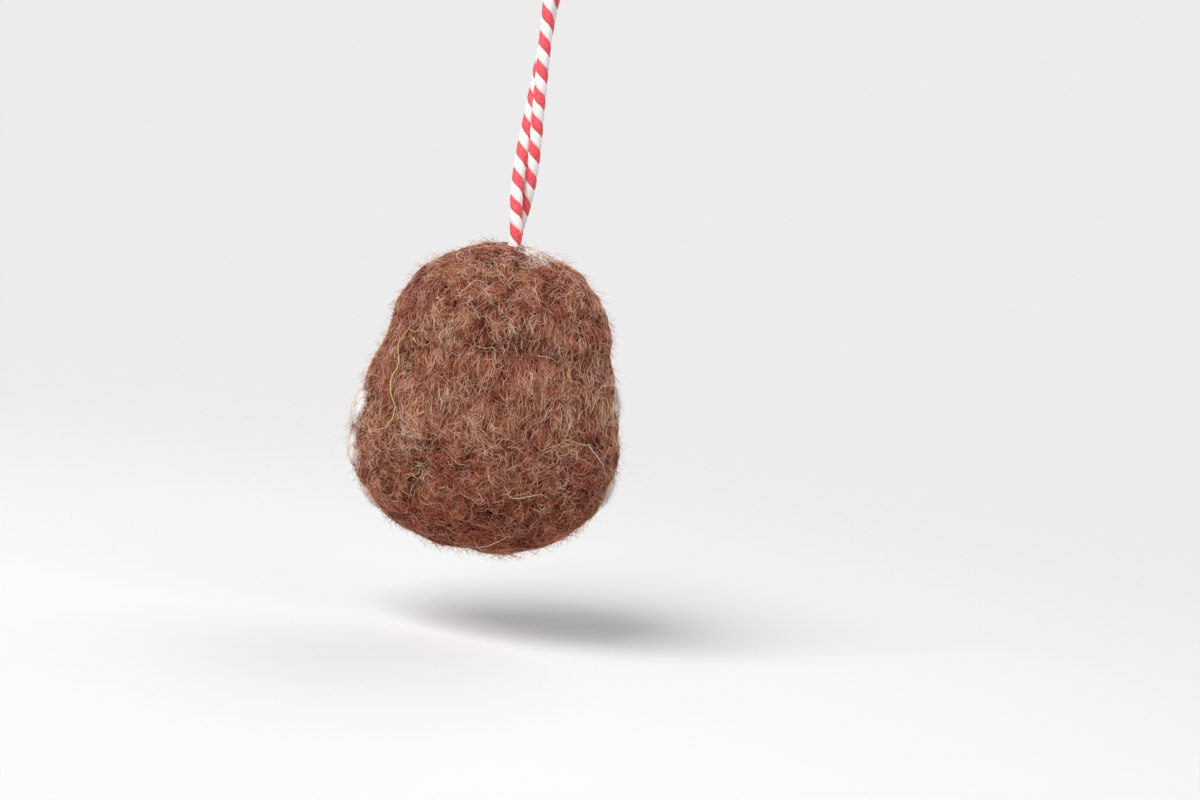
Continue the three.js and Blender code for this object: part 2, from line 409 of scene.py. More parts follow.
def side_frames(path):
    """Two directions across a path at each point, carried along it without twist."""
    tangents = unit(np.gradient(path, axis=0))
    sides = [Vector(tangents[0]).orthogonal().normalized()]
    for before, after in zip(tangents, tangents[1:]):
        turn = Vector(before).rotation_difference(Vector(after))
        sides.append(turn @ sides[-1])
    normals = np.array([tuple(s) for s in sides])
    return normals, np.cross(tangents, normals)


def tube(centre, across, beside, outline):
    """A closed tube: each centre's outline of offsets across and beside makes a ring of points."""
    rings = centre[:, None] + outline[..., :1] * across[:, None] + outline[..., 1:] * beside[:, None]
    count, sides = rings.shape[:2]
    faces = []
    for low in range(0, (count - 1) * sides, sides):
        for j in range(sides):
            k = (j + 1) % sides
            faces.append((low + j, low + k, low + sides + k, low + sides + j))
    faces.append(tuple(reversed(range(sides))))
    faces.append(tuple(range((count - 1) * sides, count * sides)))
    return rings.reshape(-1, 3), faces


def ply_tube(path, phase):
    """One ply wound round a path, with the ridges of its own yarns."""
    normals, binormals = side_frames(path)
    turn = (phase - 2 * math.pi * run_length(path) / PLY_LAY)[:, None]
    outward = np.cos(turn) * normals + np.sin(turn) * binormals
    centre = path + PLY_OFFSET * outward
    beside = unit(np.cross(np.gradient(centre, axis=0), outward))
    angles = 2 * math.pi * np.arange(PLY_SIDES) / PLY_SIDES
    twist = 2 * math.pi * run_length(centre)[:, None] / YARN_LAY
    ridge = 1 + YARN_DEPTH * np.cos(PLY_YARNS * angles - twist)
    outline = np.stack([PLY_HIGH * ridge * np.cos(angles), PLY_WIDE * ridge * np.sin(angles)], axis=-1)
    return tube(centre, outward, beside, outline)


HAIR_SIDES = 5
# The fibres of a cut end: where they start under and round it, how long they are and how far they fan
FRAY_SEED = 70
FRAY_FIBRES = 18
FRAY_THICKNESS = 0.1
FRAY_TIP = 0.4
FRAY_STEP = 0.2
FRAY_ROOT = 0.4
FRAY_ROUND = 0.45
FRAY_LENGTH = (0.9, 1.9)
FRAY_FAN = (0.1, 0.8)
# Half way along, a fibre has fanned out by this share
FRAY_BEND = 0.2


def hair_tube(path, reach):
    """A round hair along a path, with its half thickness at each point."""
    across, beside = side_frames(path)
    angles = 2 * math.pi * np.arange(HAIR_SIDES) / HAIR_SIDES
    outline = reach[:, None, None] * np.stack([np.cos(angles), np.sin(angles)], axis=-1)
    return tube(path, across, beside, outline)


def frayed_end(path, phase, seed):
    """Short cotton fibres that fan out of one ply's cut end."""
    draw = np.random.default_rng(seed)
    normals, binormals = side_frames(path)
    turn = phase - 2 * math.pi * run_length(path)[-1] / PLY_LAY
    ply_end = path[-1] + PLY_OFFSET * (math.cos(turn) * normals[-1] + math.sin(turn) * binormals[-1])
    along = unit(path[-1] - path[-2])
    for _ in range(FRAY_FIBRES):
        aside = draw.normal(size=3)
        aside = unit(aside - along * (aside @ along))
        root = ply_end - FRAY_ROOT * along + draw.uniform(0, FRAY_ROUND) * aside
        length = draw.uniform(*FRAY_LENGTH)
        fan = draw.uniform(*FRAY_FAN)
        bend = root + length * (0.5 * along + FRAY_BEND * fan * aside)
        route = smooth_path([root, bend, root + length * (along + fan * aside)], FRAY_STEP)
        yield hair_tube(route, FRAY_THICKNESS / 2 * np.linspace(1, FRAY_TIP, len(route)))


def twine_piece(name, paths, phase=0.0, fray_seed=None):
    """Two-ply twine along one or more paths given in millimetres, as one piece."""
    points, faces, colours = [], [], []
    for path in paths:
        for ply in range(2):
            forms = [ply_tube(path, phase + ply * math.pi)]
            if fray_seed is not None:
                forms.extend(frayed_end(path, phase + ply * math.pi, fray_seed + ply))
            for more, sides in forms:
                faces.extend(tuple(i + len(points) for i in face) for face in sides)
                points.extend(more)
                colours.extend([ply] * len(sides))
    mesh = mesh_from(name, np.array(points) * MM, faces)
    mesh.polygons.foreach_set("material_index", colours)
    return new_piece(name, mesh, red_cotton, white_cotton)


def strand_points(side):
    """A strand's route from inside the wool to inside the knot; side is 0 or 180 degrees."""
    low = -LOOP_DROP + TWINE_DIAMETER / 2 + CLEARANCE
    high = -KNOT_DIAMETER / 2 - CLEARANCE
    closed = (TWINE_DIAMETER + PAIR_SLIT) / 2
    route = []
    for share, opened, turn in STRAND_ROUTE:
        reach = closed + (STITCH_SPAN / 2 - closed) * opened
        angle = math.radians(turn + side)
        route.append((reach * math.cos(angle), reach * math.sin(angle), low + (high - low) * share))
    foot = route[0]
    head = route[-1]
    inside_wool = (foot[0], foot[1], -LOOP_DROP - HINGE_RISE - STRAND_IN_WOOL)
    inside_knot = (head[0], head[1], -STRAND_UNDER_KNOT)
    return [inside_wool, (foot[0], foot[1], -LOOP_DROP - HINGE_RISE), *route, inside_knot]


def hang_strand(name, node, side, phase):
    """A strand of the loop, with its route and the point where it leaves the wool."""
    route = smooth_path(strand_points(side), TWINE_STEP)
    piece = twine_piece(name, [route], phase)
    exit_turn = math.radians(STRAND_ROUTE[0][2] + side)
    exit_point = (0, math.sin(exit_turn) * STITCH_SPAN / 2 * MM, WOOL_TOP)
    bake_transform(piece)
    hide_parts(node)
    return piece, route, exit_point


def stitch_route():
    """The U inside the wool, from one exit down and back up to the other."""
    half = STITCH_SPAN / 2
    top = -LOOP_DROP - HINGE_RISE - STITCH_TOP
    low = -LOOP_DROP - HINGE_RISE - STITCH_DEPTH + half
    legs = np.linspace(top, low, STITCH_LEG_POINTS)[:-1]
    turns = np.linspace(0, math.pi, STITCH_BEND_POINTS)
    bend = [(0, -half * math.cos(t), low - half * math.sin(t)) for t in turns]
    return [*((0, -half, z) for z in legs), *bend, *((0, half, z) for z in legs[::-1])]


# The overhand knot in the doubled twine: one open overhand curve, drawn tight
KNOT_POINTS = 41
KNOT_END = 2.0
KNOT_WIDE = 1.15
KNOT_DEEP = 1.0
KNOT_TALL = 0.3
KNOT_UPRIGHT = 0.4
PAIR_HALF = 0.9
# The last stretch of the curve at each end, and the place next to it that sets how the pair lies
KNOT_STRETCH = 0.35
KNOT_INNER = 1.75


def knot_routes():
    """Two strands side by side through the knot, from the loop below to the tails above."""
    turns = np.linspace(-KNOT_END, KNOT_END, KNOT_POINTS)
    high = KNOT_TALL * (turns ** 5 - 10 * turns)
    wide = KNOT_WIDE * (turns ** 3 - 3 * turns) - KNOT_UPRIGHT * high
    deep = KNOT_DEEP * (turns ** 4 - 4 * turns ** 2 + 2)
    inside = eased(np.clip((KNOT_END - np.abs(turns)) / KNOT_STRETCH, 0, 1)[:, None])
    path = np.column_stack([wide, deep, high]) * np.hstack([inside, inside, np.ones_like(inside)])
    lie = unit(np.cross(unit(np.gradient(path, axis=0)), path))
    for step in range(1, len(lie)):
        if lie[step] @ lie[step - 1] < 0:
            lie[step] = -lie[step]
    # At both ends the pair turns to lie side by side along X
    for half, inner in ((turns < 0, -KNOT_INNER), (turns >= 0, KNOT_INNER)):
        towards = math.copysign(1, lie[np.argmax(turns > inner), 0])
        side_by_side = np.array([towards, 0, 0])
        lie[half] = unit(inside[half] * lie[half] + (1 - inside[half]) * side_by_side)
    return [smooth_path(path + PAIR_HALF * side * lie, TWINE_STEP) for side in (-1, 1)]


def tail_route(side):
    """A cut end that stands up from the knot and leans out."""
    lean = math.radians(TAIL_SPLAY)
    reach = (TWINE_DIAMETER + PAIR_GAP) / 2
    base = KNOT_DIAMETER / 2 + CLEARANCE
    route = [(side * PAIR_HALF, 0, base - TAIL_IN_KNOT)]
    for share in TAIL_ROUTE:
        bow = TAIL_LENGTH * share * share * math.sin(lean)
        route.append((side * (reach + bow), -side * bow, base + TAIL_LENGTH * share))
    return smooth_path(route, TWINE_STEP)


near_strand, near_route, near_exit = hang_strand("near_strand", "loop_strand_a", side=0, phase=NEAR_PHASE)
far_strand, far_route, far_exit = hang_strand("far_strand", "loop_strand_b", side=180, phase=FAR_PHASE)

knot = twine_piece("overhand_knot", knot_routes())
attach(knot, "hanger")
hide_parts("loop_knot")

tails = []
for name, node, side in (("left_tail", "knot_tail_a", -1), ("right_tail", "knot_tail_b", 1)):
    tail = twine_piece(name, [tail_route(side)], TAIL_PHASE * side, fray_seed=FRAY_SEED + 2 * side)
    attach(tail, "hanger")
    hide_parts(node)
    tails.append(tail)

stitch = twine_piece("stitch_in_wool", [smooth_path(stitch_route(), TWINE_STEP)])
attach(stitch, "ornament")
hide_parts("twine_stitch")

for strand, route, exit_point, others in ((near_strand, near_route, near_exit, [knot, *tails]),
                                          (far_strand, far_route, far_exit, [])):
    float(run_length(route)[-1]) * MM
    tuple(exit_point)
    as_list(others)


# The felted body

BODY_DIVISIONS = 128
CORE_DIVISIONS = 24
CORE_INSET = 4.3
# Lumps of noise: their size, height and seed
COAT_LUMPS = (7, 0.6, 3)
COAT_NUBS = (2.2, 0.3, 11)
CORE_LUMPS = (3, 0.03, 5)
# Deep needle marks on the plain side: across, up from the middle, radius and depth
DEEP_MARKS = [
    (-9.4, -13.8, 1.4, 1.5), (-9.7, -16.2, 0.9, 0.8), (-8.3, -7.3, 1.2, 1.2), (-10.1, -10.5, 1.6, 0.5),
    (-1.7, -7.8, 0.8, 0.6), (2.6, -16.1, 0.9, 0.6),
    (13.4, -7.2, 0.9, 0.6), (3.5, 9.6, 1.6, 0.7), (-1.7, 10.9, 1.0, 0.5), (-10.7, 7.5, 0.9, 0.4),
]
# The crease across the plain side's right half: from and to across, height, half width and depth
CREASE = (1, 18, 9.0, 1.4, 0.45)
CREASE_FADE = 3
# It wanders up and down, and is deeper in places
CREASE_WANDER = (4, 2.2, 17)
CREASE_BREAKS = (3.5, 1.6, 19)
CREASE_LEVEL = 0.6
CREASE_MOST = 1.3
SMALL_MARKS = 520
SMALL_MARK_SEED = 7
SMALL_MARK_RADIUS = (0.4, 0.9)
SMALL_MARK_DEPTH = (0.3, 0.8)
SMALL_MARK_SHADE = (0.3, 1)


def half_span(height, lower, crown):
    """The body's half width or half depth at a height above its middle, in millimetres."""
    level = np.clip(np.abs(height) / (BODY_HEIGHT / 2), 0, 1)
    end = np.sqrt(1 - level ** END_POWER)
    share = eased(np.clip((height - TAPER_FROM) / (TAPER_TO - TAPER_FROM), 0, 1))
    groove = WAIST_GROOVE * np.exp(-((height - WAIST_RISE) / WAIST_HALF_WIDTH) ** 2)
    return end * ((lower + (crown - lower) * share) / 2 - groove)


def body_points(directions, inset):
    """Unit directions pulled out to the body's form, drawn in by an inset, in millimetres."""
    height = directions[:, 2] * BODY_HEIGHT / 2
    turn = np.arctan2(directions[:, 1], directions[:, 0])
    cos, sin = np.cos(turn), np.sin(turn)
    fit = (np.abs(cos) ** SECTION_POWER + np.abs(sin) ** SECTION_POWER) ** (-1 / SECTION_POWER)
    wide = half_span(height, LOWER_WIDTH, CROWN_WIDTH) * (1 - inset / (CROWN_WIDTH / 2))
    deep = half_span(height, LOWER_DEPTH, CROWN_DEPTH) * (1 - inset / (CROWN_DEPTH / 2))
    return np.column_stack([wide * cos * fit, deep * sin * fit, height * (1 - inset / (BODY_HEIGHT / 2))])


def round_block(divisions):
    """A cube's grid blown up to a unit sphere: its directions and its faces."""
    block = bmesh.new()
    bmesh.ops.create_cube(block, size=2)
    bmesh.ops.subdivide_edges(block, edges=block.edges, cuts=divisions - 1, use_grid_fill=True)
    directions = np.array([tuple(v.co) for v in block.verts])
    directions = unit(np.tan(directions * math.pi / 4))
    faces = [tuple(v.index for v in face.verts) for face in block.faces]
    block.free()
    return directions, faces


def lumps(points, size, height, seed):
    """Smooth noise of a lump size and height at each point, in millimetres."""
    shift = Vector((seed, 2 * seed, 3 * seed))
    return np.array([noise.noise(Vector(p) / size + shift) for p in points]) * height


def felted_body():
    """The lumpy coat with its needle marks and crease, and how much of a mark each vertex lies in."""
    directions, faces = round_block(BODY_DIVISIONS)
    points = body_points(directions, 0)
    mesh = mesh_from("felted_coat", points, faces)
    sink = np.zeros(len(points))
    pit = np.zeros(len(points))
    plain_side = points[:, 1] < 0
    for x, z, radius, depth in DEEP_MARKS:
        apart = ((points[:, 0] - x) ** 2 + (points[:, 2] - z) ** 2) / radius ** 2
        sink += np.where(plain_side, depth * np.exp(-apart), 0)
        pit = np.maximum(pit, np.where(plain_side, np.exp(-apart), 0))
    left, right, level, half, depth = CREASE
    along = (np.clip((points[:, 0] - left) / CREASE_FADE, 0, 1)
             * np.clip((right - points[:, 0]) / CREASE_FADE, 0, 1))
    wander = lumps(points, *CREASE_WANDER)
    along *= np.clip(CREASE_LEVEL + lumps(points, *CREASE_BREAKS), 0, CREASE_MOST)
    crease = depth * along * np.exp(-((points[:, 2] - level - wander) / half) ** 2)
    sink += np.where(plain_side, crease, 0)
    draw = np.random.default_rng(SMALL_MARK_SEED)
    for i in draw.integers(0, len(points), SMALL_MARKS):
        radius = draw.uniform(*SMALL_MARK_RADIUS)
        apart = ((points - points[i]) ** 2).sum(1) / radius ** 2
        sink += draw.uniform(*SMALL_MARK_DEPTH) * np.exp(-apart)
        pit = np.maximum(pit, draw.uniform(*SMALL_MARK_SHADE) * np.exp(-apart))
    swell = lumps(points, *COAT_LUMPS) + lumps(points, *COAT_NUBS)
    points = points + normals_of(mesh) * (swell - sink)[:, None]
    mesh.vertices.foreach_set("co", (points * MM + np.array(BODY_MIDDLE)).ravel())
    mesh.update()
    # How much of a mark each vertex lies in, which the coat's material reads to paint shade there
    keep_values(mesh, "needle_pit", pit)
    return new_piece("felted_coat", mesh, brown_ground), pit


def felted_core():
    directions, faces = round_block(CORE_DIVISIONS)
    points = body_points(directions, CORE_INSET)
    points = points * (1 + lumps(points, *CORE_LUMPS))[:, None]
    mesh = mesh_from("felted_core", points * MM + np.array(BODY_MIDDLE), faces)
    return new_piece("felted_core", mesh, cream_ground)


coat, needle_pits = felted_body()
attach(coat, "ornament")
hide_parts("wool_coat")

core = felted_core()
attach(core, "ornament")
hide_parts("wool_core")


# The white tufts

TUFT_LUMPS = (2.6, 0.3, 4)
TUFT_NUBS = (1.1, 0.15, 6)
TUFT_CUTS = 3
TUFT_ROUNDING = 0.6
MERGE_WITHIN = 0.001
# How much deeper than the rest some tufts were needled in, in millimetres
TUFT_SINKS = {"white_tuft_01": 0.3, "white_tuft_03": 0.15, "white_tuft_06": 0.2, "white_tuft_09": 0.1,
              "white_tuft_11": 0.25, "white_tuft_17": 0.1, "white_tuft_19": 0.2}
# The one at the top lies this much towards the far side
TOP_TUFT = "white_tuft_01"
TOP_TUFT_BACK = 0.6


def felt_tree(piece):
    """A felted piece's faces, to look up the nearest spot on it."""
    return BVHTree.FromPolygons([v.co.copy() for v in piece.data.vertices],
                                [tuple(p.vertices) for p in piece.data.polygons])


def tuft_middle(node):
    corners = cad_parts[node].data.vertices
    return sum((v.co for v in corners), Vector()) / len(corners)


def felted_tufts():
    """Each tuft's solid, merged, rounded and made lumpy, all in one piece."""
    felt = felt_tree(coat)
    joined = bmesh.new()
    for node in TUFT_NODES:
        before = len(joined.verts)
        joined.from_mesh(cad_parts[node].data)
        joined.verts.ensure_lookup_table()
        _, outward, _, _ = felt.find_nearest(tuft_middle(node))
        move = -outward * TUFT_SINKS.get(node, 0) * MM
        if node == TOP_TUFT:
            move.y += TOP_TUFT_BACK * MM
        for vert in joined.verts[before:]:
            vert.co += move
    bmesh.ops.remove_doubles(joined, verts=joined.verts, dist=MERGE_WITHIN * MM)
    bmesh.ops.subdivide_edges(joined, edges=joined.edges, cuts=TUFT_CUTS, use_grid_fill=True,
                              smooth=TUFT_ROUNDING)
    mesh = bpy.data.meshes.new("white_tufts")
    joined.to_mesh(mesh)
    joined.free()
    points = points_of(mesh) / MM
    swell = lumps(points, *TUFT_LUMPS) + lumps(points, *TUFT_NUBS)
    mesh.vertices.foreach_set("co", ((points + normals_of(mesh) * swell[:, None]) * MM).ravel())
    mesh.update()
    mesh.shade_smooth()
    return new_piece("white_tufts", mesh, white_ground)


tufts = felted_tufts()
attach(tufts, "ornament")
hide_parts(*TUFT_NODES)


# Loose fibres: a node tree lays curled hairs on a felted surface

# What a layer of fibres is given, and what the surface and each fibre keep for the tree to read
LAYER_SIZES = ("Density", "Shortest", "Longest", "Thickness", "Curl", "Curl Size", "Lift", "Free End")
LAYER_COUNTS = ("Points", "Seed")
KEPT_NUMBERS = ("fibre_room", "fibre_from", "fibre_to", "fibre_dark", "fibre_pale", "fibre_curl",
                "fibre_heading", "fibre_length", "fibre_lift", "fibre_key", "fibre_side",
                "fibre_cell_size")
KEPT_VECTORS = ("fibre_down", "fibre_across", "fibre_root", "fibre_cell")
SEED_STRIDE = 17.0
LIFT_SHARES = (0.25, 1.0)
CURL_KEYS = (0.0, 900.0)
FREE_RISE = 1.5
FIBRE_SIDES = 3
FIBRE_TAPER = 0.6
FIBRE_TIP = 0.2
# How a fibre fills its own cell in the map that its colours are kept on
CELL_MARGIN = 0.15
CELL_LONG = 0.6
CELL_WIDE = 0.9
CELL_TILT = 0.3


def fibre_tree():
    """Scatters roots on the surface and runs a curled fibre over it from each one."""
    tree = bpy.data.node_groups.new("felt_fibres", "GeometryNodeTree")
    face = tree.interface
    face.new_socket("Geometry", in_out="INPUT", socket_type="NodeSocketGeometry")
    face.new_socket("Geometry", in_out="OUTPUT", socket_type="NodeSocketGeometry")
    for kind, names in (("NodeSocketFloat", LAYER_SIZES), ("NodeSocketInt", LAYER_COUNTS),
                        ("NodeSocketMaterial", ["Material"])):
        for name in names:
            face.new_socket(name, in_out="INPUT", socket_type=kind)
    given = add_node(tree, "NodeGroupInput").outputs
    surface = given["Geometry"]
    kept = {name: add_node(tree, "GeometryNodeInputNamedAttribute", {"Name": name}, data_type=kind)
            for kind, names in (("FLOAT", KEPT_NUMBERS), ("FLOAT_VECTOR", KEPT_VECTORS))
            for name in names}

    density = add_node(tree, "ShaderNodeMath", {0: given["Density"], 1: kept["fibre_room"]},
                       operation="MULTIPLY")
    roots = add_node(tree, "GeometryNodeDistributePointsOnFaces",
                     {"Mesh": surface, "Density": density, "Seed": given["Seed"]})

    # Each root draws its fibre's heading, length, shade, lift and place in the curl noise
    draws = {
        "fibre_heading": (kept["fibre_from"], kept["fibre_to"]),
        "fibre_length": (given["Shortest"], given["Longest"]),
        "fibre_shade": (kept["fibre_dark"], kept["fibre_pale"]),
        "fibre_lift": LIFT_SHARES,
        "fibre_key": CURL_KEYS,
    }
    for order, (name, (low, high)) in enumerate(draws.items()):
        seed = add_node(tree, "ShaderNodeMath", {0: given["Seed"], 1: SEED_STRIDE * (order + 1)},
                        operation="ADD")
        value = add_node(tree, "FunctionNodeRandomValue", {2: low, 3: high, "Seed": seed}).outputs[1]
        roots = add_node(tree, "GeometryNodeStoreNamedAttribute",
                         {"Geometry": roots, "Name": name, "Value": value},
                         data_type="FLOAT", domain="POINT")
    here = add_node(tree, "GeometryNodeInputPosition")
    roots = add_node(tree, "GeometryNodeStoreNamedAttribute",
                     {"Geometry": roots, "Name": "fibre_root", "Value": here},
                     data_type="FLOAT_VECTOR", domain="POINT")

    line = add_node(tree, "GeometryNodeCurvePrimitiveLine")
    line = add_node(tree, "GeometryNodeResampleCurve", {"Curve": line, "Count": given["Points"]})
    count = add_node(tree, "GeometryNodeAttributeDomainSize", {"Geometry": roots}, component="POINTCLOUD")
    hairs = add_node(tree, "GeometryNodeInstanceOnPoints", {"Points": roots, "Instance": line})
    hairs = add_node(tree, "GeometryNodeRealizeInstances", {"Geometry": hairs})

    # The heading wanders along the fibre, and the steps add up to its path in the surface's plane
    share = add_node(tree, "GeometryNodeSplineParameter").outputs["Factor"]
    run = add_node(tree, "ShaderNodeMath", {0: share, 1: kept["fibre_length"]}, operation="MULTIPLY")
    curls = add_node(tree, "ShaderNodeMath", {0: run, 1: given["Curl Size"]}, operation="DIVIDE")
    spot = add_node(tree, "ShaderNodeCombineXYZ", {"X": curls, "Y": kept["fibre_key"]})
    wander = add_node(tree, "ShaderNodeTexNoise", {"Vector": spot, "Scale": 1.0, "Detail": 1.0},
                      noise_dimensions="2D")
    middle = add_node(tree, "ShaderNodeMath", {0: wander, 1: 0.5}, operation="SUBTRACT")
    curl = add_node(tree, "ShaderNodeMath", {0: kept["fibre_curl"], 1: given["Curl"]}, operation="MULTIPLY")
    swing = add_node(tree, "ShaderNodeMath", {0: middle, 1: curl}, operation="MULTIPLY")
    angle = add_node(tree, "ShaderNodeMath", {0: swing, 1: kept["fibre_heading"]}, operation="ADD")
    ahead = add_node(tree, "ShaderNodeMath", {0: angle}, operation="COSINE")
    aside = add_node(tree, "ShaderNodeMath", {0: angle}, operation="SINE")
    way = add_node(tree, "ShaderNodeCombineXYZ", {"X": ahead, "Y": aside})
    gaps = add_node(tree, "ShaderNodeMath", {0: given["Points"], 1: 1.0}, operation="SUBTRACT")
    stride = add_node(tree, "ShaderNodeMath", {0: kept["fibre_length"], 1: gaps}, operation="DIVIDE")
    step = add_node(tree, "ShaderNodeVectorMath", {0: way, "Scale": stride}, operation="SCALE")
    whose = add_node(tree, "GeometryNodeCurveOfPoint").outputs["Curve Index"]
    added = add_node(tree, "GeometryNodeAccumulateField", {"Value": step, "Group ID": whose},
                     data_type="FLOAT_VECTOR", domain="POINT").outputs
    fixed = add_node(tree, "ShaderNodeMath", {0: 1.0, 1: given["Free End"]}, operation="SUBTRACT")
    half = add_node(tree, "ShaderNodeMath", {0: fixed, 1: -0.5}, operation="MULTIPLY")
    behind = add_node(tree, "ShaderNodeVectorMath", {0: added["Total"], "Scale": half}, operation="SCALE")
    flat = add_node(tree, "ShaderNodeVectorMath", {0: added["Trailing"], 1: behind}, operation="ADD")
    flat = add_node(tree, "ShaderNodeSeparateXYZ", {0: flat}).outputs

    # From the plane on to the surface, then up by the fibre's lift
    aloft = kept["fibre_root"]
    for way, reach in ((kept["fibre_down"], flat["X"]), (kept["fibre_across"], flat["Y"])):
        move = add_node(tree, "ShaderNodeVectorMath", {0: way, "Scale": reach}, operation="SCALE")
        aloft = add_node(tree, "ShaderNodeVectorMath", {0: aloft, 1: move}, operation="ADD")
    skin = add_node(tree, "GeometryNodeProximity", {0: surface, "Sample Position": aloft})
    normal = add_node(tree, "GeometryNodeInputNormal")
    outward = add_node(tree, "GeometryNodeSampleNearestSurface",
                       {"Mesh": surface, "Value": normal, "Sample Position": aloft},
                       data_type="FLOAT_VECTOR")
    half_turn = add_node(tree, "ShaderNodeMath", {0: share, 1: math.pi}, operation="MULTIPLY")
    arch = add_node(tree, "ShaderNodeMath", {0: half_turn}, operation="SINE")
    loose = add_node(tree, "ShaderNodeMath", {0: share, 1: FREE_RISE}, operation="POWER")
    rise = add_node(tree, "ShaderNodeMix", {0: given["Free End"], 2: arch, 3: loose}, data_type="FLOAT")
    for factor in (kept["fibre_lift"], given["Lift"]):
        rise = add_node(tree, "ShaderNodeMath", {0: rise, 1: factor}, operation="MULTIPLY")
    lifted = add_node(tree, "ShaderNodeVectorMath", {0: outward, "Scale": rise}, operation="SCALE")
    place = add_node(tree, "ShaderNodeVectorMath", {0: skin, 1: lifted}, operation="ADD")
    hairs = add_node(tree, "GeometryNodeSetPosition", {"Geometry": hairs, "Position": place})

    # Each fibre's own cell in the map that its colours are kept on, with some width for its end caps
    rows = add_node(tree, "ShaderNodeMath", {0: count.outputs["Point Count"]}, operation="SQRT")
    rows = add_node(tree, "ShaderNodeMath", {0: rows}, operation="CEIL")
    column = add_node(tree, "ShaderNodeMath", {0: whose, 1: rows}, operation="FLOORED_MODULO")
    row = add_node(tree, "ShaderNodeMath", {0: whose, 1: rows}, operation="DIVIDE")
    row = add_node(tree, "ShaderNodeMath", {0: row}, operation="FLOOR")
    up = add_node(tree, "ShaderNodeMath", {0: share, 1: CELL_LONG, 2: CELL_MARGIN},
                  operation="MULTIPLY_ADD")
    up = add_node(tree, "ShaderNodeMath", {0: up, 1: row}, operation="ADD")
    cell = add_node(tree, "ShaderNodeCombineXYZ", {"X": column, "Y": up})
    size = add_node(tree, "ShaderNodeMath", {0: 1.0, 1: rows}, operation="DIVIDE")
    for name, kind, value in (("fibre_cell", "FLOAT_VECTOR", cell), ("fibre_cell_size", "FLOAT", size)):
        hairs = add_node(tree, "GeometryNodeStoreNamedAttribute",
                         {"Geometry": hairs, "Name": name, "Value": value}, data_type=kind, domain="POINT")

    # A thin closed three-sided hair that tapers at both ends
    taper = add_node(tree, "ShaderNodeMath", {0: arch, 1: FIBRE_TAPER}, operation="POWER")
    taper = add_node(tree, "ShaderNodeMath", {0: taper, 1: FIBRE_TIP}, operation="MAXIMUM")
    radius = add_node(tree, "ShaderNodeMath", {0: given["Thickness"], 1: 0.5}, operation="MULTIPLY")
    radius = add_node(tree, "ShaderNodeMath", {0: taper, 1: radius}, operation="MULTIPLY")
    section = add_node(tree, "GeometryNodeCurvePrimitiveCircle", {"Resolution": FIBRE_SIDES, "Radius": 1.0})
    section = add_node(tree, "GeometryNodeStoreNamedAttribute",
                       {"Geometry": section, "Name": "fibre_side", "Value": share},
                       data_type="FLOAT", domain="POINT")
    body = add_node(tree, "GeometryNodeCurveToMesh",
                    {"Curve": hairs, "Profile Curve": section, "Scale": radius, "Fill Caps": True})
    side = kept["fibre_side"]
    over = add_node(tree, "ShaderNodeMath", {0: side, 1: CELL_WIDE, 2: CELL_MARGIN},
                    operation="MULTIPLY_ADD")
    tilt = add_node(tree, "ShaderNodeMath", {0: side, 1: 1 / FIBRE_SIDES}, operation="PINGPONG")
    tilt = add_node(tree, "ShaderNodeMath", {0: tilt, 1: CELL_TILT}, operation="MULTIPLY")
    corner = add_node(tree, "ShaderNodeCombineXYZ", {"X": over, "Y": tilt})
    spot = add_node(tree, "ShaderNodeVectorMath", {0: kept["fibre_cell"], 1: corner}, operation="ADD")
    spot = add_node(tree, "ShaderNodeVectorMath", {0: spot, "Scale": kept["fibre_cell_size"]},
                    operation="SCALE")
    body = add_node(tree, "GeometryNodeStoreNamedAttribute",
                    {"Geometry": body, "Name": "OFBake", "Value": spot},
                    data_type="FLOAT2", domain="CORNER")
    body = add_node(tree, "GeometryNodeSetShadeSmooth", {"Geometry": body, "Shade Smooth": True})
    body = add_node(tree, "GeometryNodeSetMaterial", {"Geometry": body, "Material": given["Material"]})
    add_node(tree, "NodeGroupOutput", {"Geometry": body})
    return tree


FIBRES = fibre_tree()
FIBRE_UNITS = {"density": 1 / MM ** 2, "shortest": MM, "longest": MM, "thickness": MM, "curl_size": MM,
               "lift": MM}
# Fibres gather in locks of about this size, which share most of their heading and shade
LOCK_SIZE = 3
LOCK_SWING = 1.2
LOCK_SPREAD = 0.35
SHADE_LOCK = 0.8
SHADE_SWING = 0.9
SHADE_SPREAD = 0.4
# A nudge to one side, for places where the surface lies level and nothing points down it
LEVEL_NUDGE = 1e-3


def fibre_ground(piece, room, lay, spread, curl, seed, painted_shade=0.0):
    """A copy of a piece's mesh with what fibres follow: room, heading, shade, curl and two ways along it.

    The lay is the middle heading, turned from straight down, and the spread is how far it varies.
    """
    mesh = piece.data.copy()
    points = points_of(mesh) / MM
    normals = normals_of(mesh)
    lay = lay + spread * lumps(points, LOCK_SIZE, LOCK_SWING, seed)
    spread = LOCK_SPREAD * spread
    # Painted shade, where given, lowers the shades that the fibres draw
    shade = 0.5 + lumps(points, SHADE_LOCK * LOCK_SIZE, SHADE_SWING, seed + 1) - painted_shade
    down = np.array([0.0, 0.0, -1.0]) + normals * normals[:, 2:]
    down[:, 0] += LEVEL_NUDGE
    down = unit(down)
    for name, values in (("fibre_room", room), ("fibre_curl", curl),
                         ("fibre_from", lay - spread), ("fibre_to", lay + spread),
                         ("fibre_dark", shade - SHADE_SPREAD), ("fibre_pale", shade + SHADE_SPREAD)):
        keep_values(mesh, name, values)
    for name, values in (("fibre_down", down), ("fibre_across", np.cross(normals, down))):
        layer = mesh.attributes.new(name, "FLOAT_VECTOR", "POINT")
        layer.data.foreach_set("vector", values.astype(np.float32).ravel())
    return mesh


